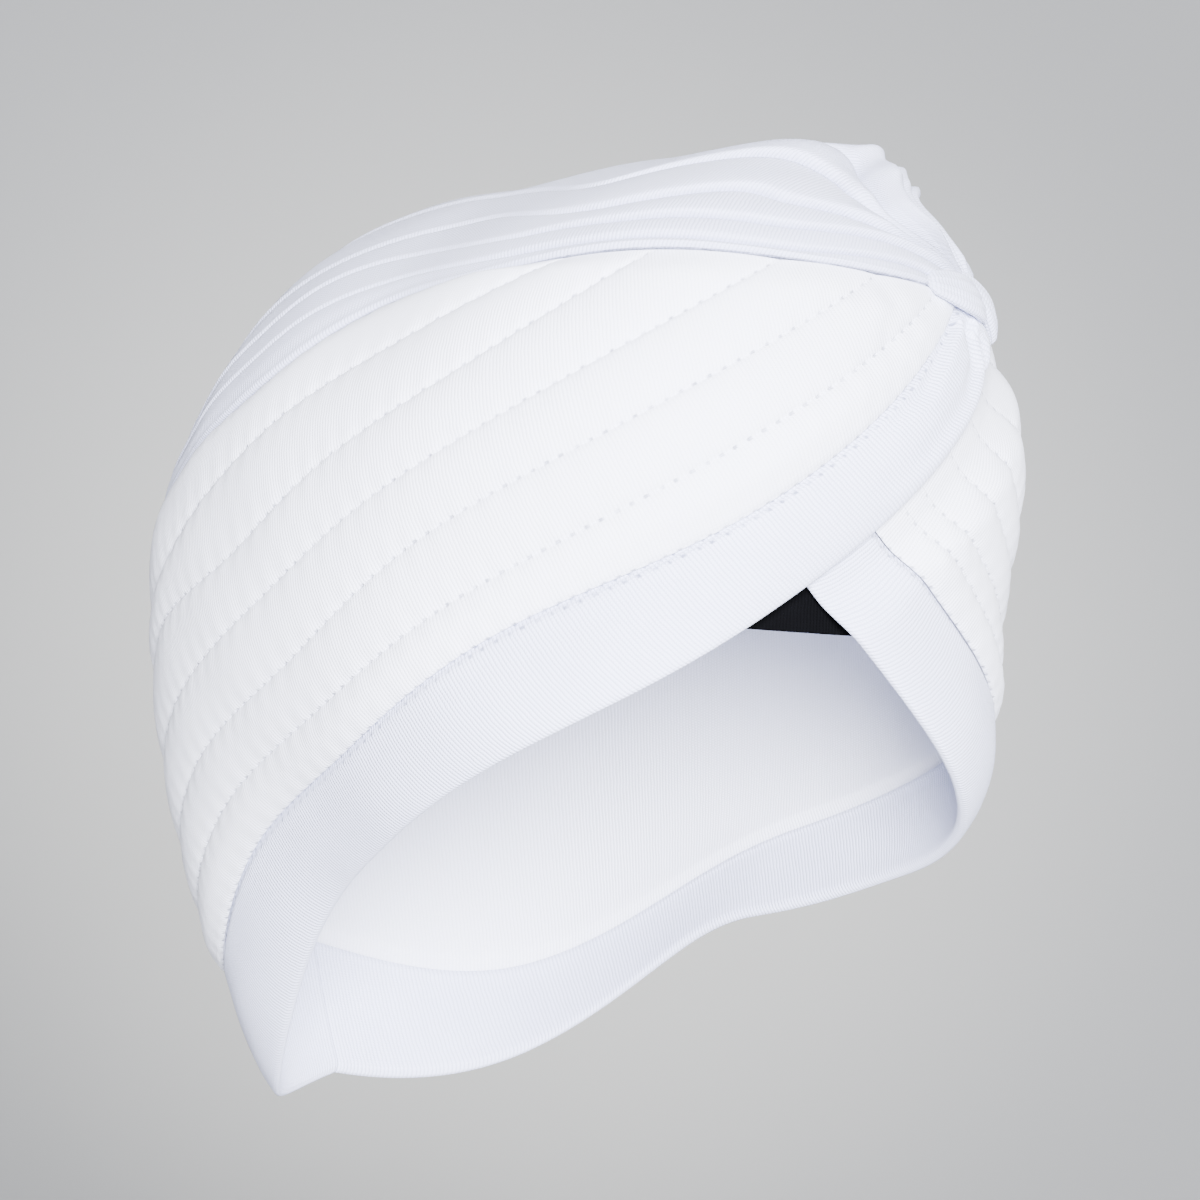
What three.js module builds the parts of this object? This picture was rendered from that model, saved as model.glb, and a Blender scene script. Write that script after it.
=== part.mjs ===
// A tied turban cap of white jersey, in the form it has when worn, in millimetres.
// +Z is up, the wearer looks along -Y and the wearer's left is +X.
// The origin is the middle of the head, level with the crossing at the brow.
// Two quilted side panels run from the centre of the back to a knot above the brow, the right one over
// the left. Each has a plain hem band below. A gathered crown strip lies between them over the top.
import * as THREE from 'three';

// Half sizes of the outer form, from the origin
const halfWidth = 80;
const browReach = 96;
const backReach = 102;
const crownHeight = 84;
const napeDrop = 120;
const planRoundness = 2.15; // exponent of the outline from above, 2 is an ellipse

// Cloth
const panelWall = 2.2; // jersey, padding and jersey, quilted
const hemWall = 1.8; // jersey folded twice
const crownWall = 1.8;
const browBandWall = 1.2;
const seamGap = 0.4; // between two pieces that are sewn edge to edge
const layerGap = 0.9; // between two layers that lie on each other

// Relief
const channelPuff = 2.6; // how far a padded channel stands out from its stitch lines, up to the outer form
const hemPuff = 1.6; // how far the folded hem stands out from the stitch lines
const hemRise = [0.6, 1, 0.9, 0.2]; // shares of it from the folded edge up to the hem's seam
const pleatHeight = 5;
const tuckLength = 20; // over which the left side sinks before it passes under the right one
const tuckMargin = 9; // how far outside the right side's edge it has sunk

// Dark band inside the brow
const browBandLength = 72;
const browBandDrop = 10; // its lower edge, below the origin
const browBandHeight = 24;
const browBandTurn = -11; // degrees, where its middle is

// Knot
const knotWidth = 9.5;
const knotThickness = 4.2;

// Steps of the meshes
const stepsAlong = 22;
const stepsAlongCrown = 24;
const knotSteps = 10;
const knotSides = 10;

// Shares of the form's half sizes, a row for each lift in degrees above the level of the origin
const formRows = [
  { lift: -67.5, front: 0.87, side: 0.86, back: 1.28 },
  { lift: -45, front: 0.99, side: 0.9, back: 1.14 },
  { lift: -22.5, front: 1.04, side: 0.95, back: 1.05 },
  { lift: 0, front: 0.97, side: 0.97, back: 1.02 },
  { lift: 22.5, front: 1.1, side: 1, back: 0.95 },
  { lift: 45, front: 1.22, side: 0.99, back: 0.98 },
  { lift: 67.5, front: 1.1, side: 0.96, back: 0.96 },
  { lift: 90, front: 0.91, side: 0.91, back: 0.91 },
  { lift: 112.5, front: 0.96, side: 0.96, back: 1.1 }, // the far side of the pole
];

// Lines of a side, from the hem's edge up. Each runs from the centre of the back to its end turn, and its
// lifts stand at seven equal steps on the way. Turns and lifts are degrees, and a turn of 0 is the front.
const rightLines = [
  { end: 24, back: -56, nape: -61.5, low: -56.8, ear: -45.2, temple: -22.5, brow: 0, front: 30 },
  { end: 16, back: -44.5, nape: -49.4, low: -42.8, ear: -31.2, temple: -9, brow: 9.4, front: 34.7 },
  { end: 11, back: -41, nape: -43.2, low: -36, ear: -24, temple: -3, brow: 15.7, front: 34.9 },
  { end: -0.5, back: -37, nape: -37.3, low: -28.9, ear: -17, temple: 4, brow: 20.2, front: 35.6 },
  { end: -14.6, back: -32.5, nape: -29.7, low: -20.5, ear: -7.9, temple: 9.3, brow: 23.7, front: 36.8 },
  { end: -31, back: -26.5, nape: -21.3, low: -10.8, ear: -1.5, temple: 14.4, brow: 27.3, front: 39.2 },
  { end: -44, back: -20, nape: -13.2, low: -6, ear: 8.9, temple: 23.4, brow: 33.6, front: 40.3 },
];
const leftLines = [
  { end: -23, back: -56, nape: -58.5, low: -57, ear: -51.8, temple: -36.8, brow: -17, front: 14 },
  { end: -17, back: -44.5, nape: -50, low: -47, ear: -38.1, temple: -20.9, brow: -2.8, front: 20 },
  { end: -15, back: -40.5, nape: -44, low: -40.5, ear: -32.7, temple: -14.8, brow: 2, front: 24 },
  { end: -13.8, back: -36.5, nape: -38.4, low: -34.5, ear: -27.1, temple: -8.9, brow: 5.8, front: 27.5 },
  { end: -5, back: -32, nape: -32.6, low: -28.5, ear: -21.3, temple: -2.5, brow: 8.5, front: 29.5 },
  { end: 4, back: -27.5, nape: -27, low: -23, ear: -15, temple: 4, brow: 11.5, front: 31 },
  { end: 10, back: -23, nape: -21.5, low: -17, ear: -9, temple: 6.5, brow: 18, front: 32 },
  { end: 20, back: -18, nape: -15.4, low: -10.8, ear: -2.4, temple: 14.3, brow: 27.6, front: 34.9 },
];
const stations = ['back', 'nape', 'low', 'ear', 'temple', 'brow', 'front'];

// Lifts of the crown seams, at nine equal steps in turn from the centre of the back to the knot
const crownSeamRows = [
  { right: -11, left: -11 },
  { right: -5, left: -7.5 },
  { right: 10.1, left: -1.5 },
  { right: 24.1, left: 7 },
  { right: 39.3, left: 17 },
  { right: 40.7, left: 29 },
  { right: 39.5, left: 37.5 },
  { right: 36.4, left: 39 },
  { right: 34.7, left: 34.5 },
];
const knotTurn = { right: 12, left: 17 };
const topLineEnd = { right: -62, left: 34 }; // where the uppermost channel of a side closes

// Pleats of the crown from the right seam over the top to the left one: width as a share of the others',
// height as a share of pleatHeight. The open edge of each faces its own side.
const pleats = [
  { width: 0.9, height: 0.5, opens: 'right' },
  { width: 1, height: 0.75, opens: 'right' },
  { width: 1.1, height: 0.7, opens: 'right' },
  { width: 0.8, height: 0.8, opens: 'right' },
  { width: 1.3, height: 0.95, opens: 'right' },
  { width: 1.3, height: 1.1, opens: 'left' },
  { width: 0.9, height: 1.1, opens: 'left' },
  { width: 0.8, height: 1, opens: 'left' },
  { width: 0.9, height: 0.8, opens: 'left' },
  { width: 1, height: 0.5, opens: 'left' },
];
// How much of their height they have along the strip, at equal steps from the back to the knot
const pleatSwell = [0.3, 0.4, 0.45, 0.55, 0.85, 0.9, 0.6];

// The knot's middle line, in degrees and as a share of its thickness above the cloth
const knotRows = [
  { turn: 8.5, lift: 35.2, above: 0.74, size: 0.5 },
  { turn: 13, lift: 34.6, above: 0.95, size: 0.95 },
  { turn: 17.5, lift: 33.6, above: 0.95, size: 1 },
  { turn: 21.5, lift: 31.4, above: 0.9, size: 0.85 },
  { turn: 24.5, lift: 28.4, above: 0.75, size: 0.6 },
];

const radians = Math.PI / 180;
const mix = (a, b, share) => a + (b - a) * share;
const clamp = (value, low, high) => Math.min(high, Math.max(low, value));
const ease = (value) => clamp(value, 0, 1) ** 2 * (3 - 2 * clamp(value, 0, 1));

// A smooth curve through equally spaced values, position 0 to 1
function curveThrough(values, position) {
  const last = values.length - 1;
  const at = clamp(position * last, 0, last - 1e-9);
  const step = Math.floor(at);
  const share = at - step;
  const before = step > 0 ? values[step - 1] : 2 * values[0] - values[1];
  const after = step + 2 <= last ? values[step + 2] : 2 * values[last] - values[last - 1];
  const [from, to] = [values[step], values[step + 1]];
  return 0.5 * (2 * from + (to - before) * share + (2 * before - 5 * from + 4 * to - after) * share ** 2
    + (3 * from - before - 3 * to + after) * share ** 3);
}
const column = (rows, name) => rows.map((row) => row[name]);

function direction(turn, lift) {
  const level = Math.cos(lift * radians);
  return new THREE.Vector3(
    Math.sin(turn * radians) * level,
    -Math.cos(turn * radians) * level,
    Math.sin(lift * radians),
  );
}

// Distance from the origin to the outer form in a direction
const formColumns = {
  front: column(formRows, 'front'),
  side: column(formRows, 'side'),
  back: column(formRows, 'back'),
};
function formRadius(toward) {
  const lift = Math.asin(clamp(toward.z, -1, 1)) / radians;
  const position = (lift - formRows[0].lift) / (formRows.at(-1).lift - formRows[0].lift);
  const isFront = toward.y < 0;
  const reach = isFront ? browReach : backReach;
  const height = toward.z > 0 ? crownHeight : napeDrop;
  const plan = (Math.abs(toward.x / halfWidth) ** planRoundness
    + Math.abs(toward.y / reach) ** planRoundness) ** (1 / planRoundness);
  const egg = 1 / Math.hypot(plan, toward.z / height);
  const level = toward.x ** 2 + toward.y ** 2 + 1e-12;
  const alongY = toward.y ** 2 / level;
  const end = curveThrough(isFront ? formColumns.front : formColumns.back, position);
  return egg * mix(curveThrough(formColumns.side, position), end, alongY);
}
// A point at a distance out from the level of the stitch lines
const onForm = (toward, out) => toward.clone().multiplyScalar(formRadius(toward) - channelPuff + out);

// Lines of a side
const sides = {
  right: { startTurn: -180, lines: rightLines },
  left: { startTurn: 180, lines: leftLines },
};
const seamLifts = { right: column(crownSeamRows, 'right'), left: column(crownSeamRows, 'left') };

function crownSeamLift(side, turn) {
  const { startTurn } = sides[side];
  return curveThrough(seamLifts[side], (turn - startTurn) / (knotTurn[side] - startTurn));
}

function linePoint(side, index, share) {
  const { startTurn, lines } = sides[side];
  if (index === lines.length) {
    const turn = mix(startTurn, topLineEnd[side], share);
    return { turn, lift: crownSeamLift(side, turn) };
  }
  const line = lines[index];
  const lifts = stations.map((name) => line[name]);
  return { turn: mix(startTurn, line.end, share), lift: curveThrough(lifts, share) };
}

// A point between two lines: across is the line's number and a share of the channel above it
function sidePoint(side, across, along) {
  const index = Math.min(Math.floor(across), sides[side].lines.length - 1);
  const low = linePoint(side, index, along);
  const high = linePoint(side, index + 1, along);
  const share = across - index;
  return { turn: mix(low.turn, high.turn, share), lift: mix(low.lift, high.lift, share) };
}

// Turn of the right hem's edge at a lift, which the left side passes under
const hemEdge = Array.from({ length: 61 }, (_, step) => linePoint('right', 0, 0.5 + step / 120));
function hemEdgeTurn(lift) {
  const next = hemEdge.findIndex((point) => point.lift > lift);
  return next < 0 ? hemEdge.at(-1).turn : hemEdge[next].turn;
}

// How far a point of the left side lies below the form, from 0 to 1
function tuckShare(side, point) {
  if (side === 'right' || point.turn > 90) return 0;
  const radius = browReach * radians * Math.cos(point.lift * radians);
  const past = (point.turn - hemEdgeTurn(point.lift)) * radius;
  return 1 - ease((past - tuckMargin) / tuckLength);
}
const tuckDepth = Math.max(panelWall, hemWall) + layerGap;

// A closed wall between an outer and an inner grid of points
function wallGeometry(outer, inner) {
  const rows = outer.length;
  const columns = outer[0].length;
  const positions = [];
  for (const grid of [outer, inner]) {
    for (const row of grid) {
      for (const point of row) positions.push(point.x, point.y, point.z);
    }
  }
  const number = (layer, row, col) => layer * rows * columns + row * columns + col;
  const faces = [];
  const quad = (a, b, c, d) => faces.push(a, b, c, a, c, d);
  for (let row = 0; row < rows - 1; row += 1) {
    for (let col = 0; col < columns - 1; col += 1) {
      quad(number(0, row, col), number(0, row + 1, col), number(0, row + 1, col + 1), number(0, row, col + 1));
      quad(number(1, row, col), number(1, row, col + 1), number(1, row + 1, col + 1), number(1, row + 1, col));
    }
  }
  for (let row = 0; row < rows - 1; row += 1) {
    const far = columns - 1;
    quad(number(0, row, 0), number(1, row, 0), number(1, row + 1, 0), number(0, row + 1, 0));
    quad(number(0, row, far), number(0, row + 1, far), number(1, row + 1, far), number(1, row, far));
  }
  for (let col = 0; col < columns - 1; col += 1) {
    const far = rows - 1;
    quad(number(0, 0, col), number(0, 0, col + 1), number(1, 0, col + 1), number(1, 0, col));
    quad(number(0, far, col), number(1, far, col), number(1, far, col + 1), number(0, far, col + 1));
  }
  return closed(positions, faces);
}

// A closed mesh with its faces turned outwards
function closed(positions, faces) {
  const geometry = new THREE.BufferGeometry();
  geometry.setAttribute('position', new THREE.Float32BufferAttribute(positions, 3));
  let volume = 0;
  const corner = (index) => new THREE.Vector3().fromArray(positions, index * 3);
  for (let at = 0; at < faces.length; at += 3) {
    volume += corner(faces[at]).dot(corner(faces[at + 1]).cross(corner(faces[at + 2])));
  }
  geometry.setIndex(volume < 0 ? faces.reverse() : faces);
  geometry.computeVertexNormals();
  return geometry;
}

function clothMaterial(color, roughness) {
  return new THREE.MeshStandardMaterial({ color, roughness, metalness: 0 });
}
const whiteJersey = 0xf2f3f8;
const blackJersey = 0x1c1c20;
const turban = new THREE.Group();
function addPiece(name, geometry, color) {
  const mesh = new THREE.Mesh(geometry, clothMaterial(color, 0.9));
  mesh.name = name;
  turban.add(mesh);
}

// Shares at which a wall's grid has its rows, kept half a gap inside the piece's own edges
function sharesAlong(steps, length) {
  const inset = seamGap / 2 / length;
  return Array.from({ length: steps + 1 }, (_, step) => mix(inset, 1 - inset, step / steps));
}
const seamInset = seamGap / 2 / (browReach * radians); // degrees
const sideLength = Math.PI * (browReach + backReach) / 2;
const alongShares = sharesAlong(stepsAlong, sideLength);

// Height of a padded channel at a share of its width: a pillow between two stitch lines
const channelSteps = [0, 0.2, 0.5, 0.8];
const pillow = (share) => Math.sin(Math.PI * share) ** 0.6;

function quiltedPanel(side) {
  const { lines } = sides[side];
  const across = [];
  for (let channel = 1; channel < lines.length; channel += 1) {
    for (const share of channelSteps) across.push(channel + share);
  }
  across.push(lines.length);
  const place = (value, along) => {
    const point = sidePoint(side, value, along);
    if (value === 1) point.lift += seamInset;
    else if (value === lines.length || along === alongShares.at(-1)) point.lift -= 2 * seamInset;
    return point;
  };
  const layer = (depth, padded) => alongShares.map((along) => across.map((value) => {
    const point = place(value, along);
    const tuck = tuckShare(side, point);
    const endFade = Math.min(ease((1 - along) / 0.06 + 0.25), ease(along / 0.05 + 0.3));
    const puff = padded ? channelPuff * pillow(value % 1) * endFade * (1 - tuck) : 0;
    return onForm(direction(point.turn, point.lift), puff - depth - tuck * tuckDepth);
  }));
  return wallGeometry(layer(0, true), layer(panelWall, false));
}

function hemBand(side) {
  const layer = (depth, padded) => alongShares.map((along) => hemRise.map((rise, step) => {
    const share = step / (hemRise.length - 1);
    const point = sidePoint(side, share, along);
    if (share === 1) point.lift -= seamInset;
    const tuck = tuckShare(side, point);
    const puff = padded ? hemPuff * rise * (1 - tuck) : 0;
    return onForm(direction(point.turn, point.lift), puff - depth - tuck * tuckDepth);
  }));
  return wallGeometry(layer(0, true), layer(hemWall, false));
}

// The crown strip lies between the two crown seams, over the top. Across it, points follow the great
// circle from seam to seam.
function crownEdge(side, position) {
  const turn = mix(sides[side].startTurn, knotTurn[side], position);
  return direction(turn, crownSeamLift(side, turn) + 2 * seamInset);
}
function crownDirection(position, share) {
  const right = crownEdge('right', position);
  const left = crownEdge('left', position);
  const angle = right.angleTo(left);
  const from = Math.sin((1 - share) * angle) / Math.sin(angle);
  const to = Math.sin(share * angle) / Math.sin(angle);
  return right.multiplyScalar(from).add(left.multiplyScalar(to)).normalize();
}

// Positions along the strip whose points lie evenly apart, at its edges and its middle together
function evenPositions(steps) {
  const fine = 400;
  const [first, last] = [0.012, 0.985];
  const travelled = [0];
  for (let step = 1; step <= fine; step += 1) {
    const [before, after] = [step - 1, step].map((value) => mix(first, last, value / fine));
    const parts = [0, 0.5, 1].map((share) => crownDirection(before, share).angleTo(crownDirection(after, share)));
    travelled.push(travelled.at(-1) + parts[0] + parts[1] + parts[2]);
  }
  return Array.from({ length: steps + 1 }, (_, step) => {
    const wanted = travelled.at(-1) * step / steps;
    const found = travelled.findIndex((value) => value >= wanted);
    return mix(first, last, found / fine);
  });
}

// A pleat rises sharply from its lower edge and falls slowly towards the top
function pleatProfile(share) {
  const crest = 0.2;
  return share < crest ? ease(share / crest) : Math.cos((share - crest) / (1 - crest) * Math.PI / 2) ** 0.8;
}

function crownStrip() {
  const foldSteps = [0.1, 0.35, 0.7];
  const widths = pleats.reduce((sum, pleat) => sum + pleat.width, 0);
  const across = [{ share: 0, rise: 0 }];
  let start = 0;
  for (const { width, height, opens } of pleats) {
    const steps = opens === 'right' ? foldSteps : foldSteps.map((share) => 1 - share).reverse();
    for (const share of steps) {
      const rise = height * pleatProfile(opens === 'right' ? share : 1 - share);
      across.push({ share: start + share * width / widths, rise });
    }
    start += width / widths;
    across.push({ share: Math.min(start, 1), rise: 0 });
  }
  const positions = evenPositions(stepsAlongCrown);
  const layer = (depth, pleated) => positions.map((position, step) => {
    const width = crownEdge('right', position).angleTo(crownEdge('left', position)) * crownHeight;
    const swell = curveThrough(pleatSwell, step / stepsAlongCrown);
    const height = Math.min(pleatHeight * swell, width / pleats.length);
    return across.map(({ share, rise }) => {
      const out = pleated ? height * rise : 0;
      return onForm(crownDirection(position, share), out - depth);
    });
  });
  return wallGeometry(layer(0, true), layer(crownWall, false));
}

// The band inside the brow, which shows below the crossing
function browBand() {
  const steps = 12;
  const halfTurn = browBandLength / 2 / (browReach * radians);
  const top = browBandHeight - browBandDrop;
  const depth = tuckDepth + Math.max(panelWall, hemWall) + layerGap;
  const layer = (below) => Array.from({ length: steps + 1 }, (_, step) => {
    const turn = browBandTurn + mix(-halfTurn, halfTurn, step / steps);
    return [-browBandDrop, mix(-browBandDrop, top, 0.5), top].map((height) => {
      const lift = Math.asin(height / browReach) / radians;
      return onForm(direction(turn, lift), -depth - below);
    });
  });
  return wallGeometry(layer(0), layer(browBandWall));
}

// The knot's wrap, a fat strap with rounded ends over the place where the panels and the crown meet
function knotWrap() {
  const columns = Object.fromEntries(['turn', 'lift', 'above', 'size'].map((name) => [name, column(knotRows, name)]));
  const centre = (share) => {
    const toward = direction(curveThrough(columns.turn, share), curveThrough(columns.lift, share));
    return onForm(toward, knotThickness * curveThrough(columns.above, share));
  };
  const positions = [];
  const tips = [centre(0), centre(1)];
  for (let step = 0; step <= knotSteps; step += 1) {
    const share = mix(0.04, 0.96, step / knotSteps);
    const middle = centre(share);
    const ahead = centre(share + 0.01).sub(centre(share - 0.01)).normalize();
    const out = middle.clone().normalize();
    const aside = new THREE.Vector3().crossVectors(ahead, out).normalize();
    const roundEnd = Math.sqrt(Math.min(1, Math.min(share, 1 - share) / 0.15));
    const size = curveThrough(columns.size, share) * roundEnd;
    for (let corner = 0; corner < knotSides; corner += 1) {
      const angle = corner / knotSides * Math.PI * 2;
      const point = middle.clone()
        .addScaledVector(aside, Math.cos(angle) * knotWidth / 2 * size)
        .addScaledVector(out, Math.sin(angle) * knotThickness / 2 * size);
      positions.push(point.x, point.y, point.z);
    }
  }
  const tipNumber = positions.length / 3;
  for (const tip of tips) positions.push(tip.x, tip.y, tip.z);
  const faces = [];
  for (let corner = 0; corner < knotSides; corner += 1) {
    const next = (corner + 1) % knotSides;
    for (let step = 0; step < knotSteps; step += 1) {
      const [low, high] = [step * knotSides, (step + 1) * knotSides];
      faces.push(low + corner, high + corner, high + next, low + corner, high + next, low + next);
    }
    const end = knotSteps * knotSides;
    faces.push(tipNumber, corner, next, tipNumber + 1, end + next, end + corner);
  }
  return closed(positions, faces);
}

addPiece('right_panel', quiltedPanel('right'), whiteJersey);
addPiece('left_panel', quiltedPanel('left'), whiteJersey);
addPiece('right_hem_band', hemBand('right'), whiteJersey);
addPiece('left_hem_band', hemBand('left'), whiteJersey);
addPiece('crown_strip', crownStrip(), whiteJersey);
addPiece('knot_wrap', knotWrap(), whiteJersey);
addPiece('brow_band', browBand(), blackJersey);

export default turban;
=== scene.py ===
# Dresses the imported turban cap: quilted panels, hem bands, pleated crown, knot and brow band in jersey
import math

import bpy
import numpy as np
from mathutils import Matrix, Vector


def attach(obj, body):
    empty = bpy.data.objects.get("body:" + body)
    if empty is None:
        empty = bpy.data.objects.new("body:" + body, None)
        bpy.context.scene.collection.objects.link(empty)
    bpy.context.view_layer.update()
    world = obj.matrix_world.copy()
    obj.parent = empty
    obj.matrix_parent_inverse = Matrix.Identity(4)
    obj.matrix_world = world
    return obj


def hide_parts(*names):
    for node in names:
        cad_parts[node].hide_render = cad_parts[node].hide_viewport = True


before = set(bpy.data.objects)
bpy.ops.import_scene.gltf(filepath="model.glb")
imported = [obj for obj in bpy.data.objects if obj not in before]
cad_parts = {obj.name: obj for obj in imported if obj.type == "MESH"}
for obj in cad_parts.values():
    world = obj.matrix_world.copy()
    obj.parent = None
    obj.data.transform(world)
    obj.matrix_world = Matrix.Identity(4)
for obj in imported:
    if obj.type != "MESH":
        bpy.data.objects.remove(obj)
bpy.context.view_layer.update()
mm = 0.001

# The camera stands where the photograph was taken from, low in front of the wearer's right side
photo = {
    "pixels": 1200,  # width and height of the photograph
    "azimuth": -38,
    "roll": 4,  # degrees, the cap looks turned clockwise by this
    "distance": 1.2,
    "focalPixels": 5844,
    "originPixel": (586, 572),  # where the middle of the head lies in the photograph
    "sensor": 36,
}


def makeCamera():
    data = bpy.data.cameras.new("camera")
    camera = bpy.data.objects.new("camera", data)
    bpy.context.scene.collection.objects.link(camera)
    turn, roll = math.radians(photo["azimuth"]), math.radians(photo["roll"])
    back = Vector((math.sin(turn), -math.cos(turn), 0))
    right = Vector((math.cos(turn), math.sin(turn), 0))
    up = Vector((0, 0, 1))
    across = right * math.cos(roll) + up * math.sin(roll)
    upward = up * math.cos(roll) - right * math.sin(roll)
    placed = Matrix((across, upward, back)).transposed().to_4x4()
    placed.translation = back * photo["distance"]
    camera.matrix_world = placed
    data.sensor_width = photo["sensor"]
    data.lens = photo["focalPixels"] / photo["pixels"] * photo["sensor"]
    middle = photo["pixels"] / 2
    data.shift_x = (middle - photo["originPixel"][0]) / photo["pixels"]
    data.shift_y = (photo["originPixel"][1] - middle) / photo["pixels"]
    bpy.context.scene.camera = camera


makeCamera()
print("camera placed")

# The outer form of the head, lengths in millimetres, the rest shares of them, a row for each lift
head = {
    "halfWidth": 80,
    "browReach": 96,
    "backReach": 102,
    "crownHeight": 84,
    "napeDrop": 120,
    "roundness": 2.15,
    "lowestLift": -67.5,
    "liftStep": 22.5,
    "front": [0.87, 0.99, 1.04, 0.97, 1.1, 1.22, 1.1, 0.91, 0.96],
    "side": [0.86, 0.9, 0.95, 0.97, 1, 0.99, 0.96, 0.91, 0.96],
    "back": [1.28, 1.14, 1.05, 1.02, 0.95, 0.98, 0.96, 0.91, 1.1],
}
cloth = {
    "panelWall": 2.2,
    "hemWall": 1.8,
    "crownWall": 1.8,
    "browWall": 1.2,
    "channelPuff": 2.6,
    "hemPuff": 1.6,
    "tuckLength": 20,
    "tuckMargin": 9,
    "tuckTurn": 90,  # the left side passes under the right one in front of this
    "layerGap": 0.9,
    "noStitch": 9,  # so far from a seam no stitch is drawn
}

# Stitch lines of each side from the hem's edge up: end turn, then lifts at seven steps from the back
rightSide = {
    "start": -180,
    "knotTurn": 12,
    "topEnd": -62,
    "lines": [
        (24, [-56, -61.5, -56.8, -45.2, -22.5, 0, 30]),
        (16, [-44.5, -49.4, -42.8, -31.2, -9, 9.4, 34.7]),
        (11, [-41, -43.2, -36, -24, -3, 15.7, 34.9]),
        (-0.5, [-37, -37.3, -28.9, -17, 4, 20.2, 35.6]),
        (-14.6, [-32.5, -29.7, -20.5, -7.9, 9.3, 23.7, 36.8]),
        (-31, [-26.5, -21.3, -10.8, -1.5, 14.4, 27.3, 39.2]),
        (-44, [-20, -13.2, -6, 8.9, 23.4, 33.6, 40.3]),
    ],
    "crownSeam": [-11, -5, 10.1, 24.1, 39.3, 40.7, 39.5, 36.4, 34.7],
}
leftSide = {
    "start": 180,
    "knotTurn": 17,
    "topEnd": 34,
    "lines": [
        (-23, [-56, -58.5, -57, -51.8, -36.8, -17, 14]),
        (-17, [-44.5, -50, -47, -38.1, -20.9, -2.8, 20]),
        (-15, [-40.5, -44, -40.5, -32.7, -14.8, 2, 24]),
        (-13.8, [-36.5, -38.4, -34.5, -27.1, -8.9, 5.8, 27.5]),
        (-5, [-32, -32.6, -28.5, -21.3, -2.5, 8.5, 29.5]),
        (4, [-27.5, -27, -23, -15, 4, 11.5, 31]),
        (10, [-23, -21.5, -17, -9, 6.5, 18, 32]),
        (20, [-18, -15.4, -10.8, -2.4, 14.3, 27.6, 34.9]),
    ],
    "crownSeam": [-11, -7.5, -1.5, 7, 17, 29, 37.5, 39, 34.5],
}


def ease(value):
    value = np.clip(value, 0, 1)
    return value * value * (3 - 2 * value)


def bell(value):  # 1 at 0, nearly gone past 2
    return np.exp(-(value**2))


def throughRows(values, position):  # a smooth curve through equally spaced values
    values = np.asarray(values, float)
    last = len(values) - 1
    padded = np.concatenate([[2 * values[0] - values[1]], values, [2 * values[-1] - values[-2]]])
    at = np.clip(np.asarray(position, float) * last, 0, last - 1e-9)
    step = np.floor(at).astype(int)
    t = at - step
    a, b, c, d = (padded[step + k] for k in range(4))
    return 0.5 * (2 * b + (c - a) * t + (2 * a - 5 * b + 4 * c - d) * t**2 + (3 * b - a - 3 * c + d) * t**3)


def directionOf(turn, lift):
    turn, lift = np.radians(turn), np.radians(lift)
    level = np.cos(lift)
    return np.stack([np.sin(turn) * level, -np.cos(turn) * level, np.sin(lift) + 0 * turn], -1)


def degreesOf(length):  # of a length along the brow, in millimetres
    return length / (head["browReach"] * math.radians(1))


def formRadius(toward):
    lift = np.degrees(np.arcsin(np.clip(toward[..., 2], -1, 1)))
    rows = len(head["front"]) - 1
    position = (lift - head["lowestLift"]) / head["liftStep"] / rows
    x, y, z = (toward[..., k] for k in range(3))
    isFront = y < 0
    reach = np.where(isFront, head["browReach"], head["backReach"])
    height = np.where(z > 0, head["crownHeight"], head["napeDrop"])
    power = head["roundness"]
    plan = (np.abs(x / head["halfWidth"]) ** power + np.abs(y / reach) ** power) ** (1 / power)
    egg = 1 / np.hypot(plan, z / height)
    alongY = y**2 / (x**2 + y**2 + 1e-12)
    front, side, back = (throughRows(head[name], position) for name in ("front", "side", "back"))
    return egg * (side + (np.where(isFront, front, back) - side) * alongY)


def onForm(toward, out):  # a point at a distance out from the level of the stitch lines
    return toward * (formRadius(toward) - cloth["channelPuff"] + out)[..., None] * mm


def seamLift(side, turn):
    share = (turn - side["start"]) / (side["knotTurn"] - side["start"])
    return throughRows(side["crownSeam"], share)


def linePoint(side, index, share):  # the line past the last stitch line is the crown seam
    if index == len(side["lines"]):
        turn = side["start"] + (side["topEnd"] - side["start"]) * share
        return turn, seamLift(side, turn)
    end, lifts = side["lines"][index]
    return side["start"] + (end - side["start"]) * share, throughRows(lifts, share)


def sidePoint(side, across, along):  # across counts the lines, with a share of the channel above
    lines = [linePoint(side, index, along) for index in range(len(side["lines"]) + 1)]
    turns = np.stack([line[0] + 0 * along for line in lines])
    lifts = np.stack([line[1] for line in lines])
    index = np.minimum(np.floor(across).astype(int), len(side["lines"]) - 1)
    share = across - index
    rows = np.arange(len(along))[:, None]
    turn = turns[index, rows] * (1 - share) + turns[index + 1, rows] * share
    lift = lifts[index, rows] * (1 - share) + lifts[index + 1, rows] * share
    return turn, lift


# Turns and lifts of the right side's lower edge, over its front half
rightEdge = linePoint(rightSide, 0, np.linspace(0.5, 1, 200))
tuckDepth = max(cloth["panelWall"], cloth["hemWall"]) + cloth["layerGap"]


def tuckShare(side, turn, lift):  # how far the left side has sunk below the right one's edge
    if side is rightSide:
        return 0 * turn
    edge = np.interp(lift, rightEdge[1], rightEdge[0])
    past = (turn - edge) * math.radians(head["browReach"]) * np.cos(np.radians(lift))
    sunk = 1 - ease((past - cloth["tuckMargin"]) / cloth["tuckLength"])
    return np.where(turn > cloth["tuckTurn"], 0, sunk)


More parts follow.
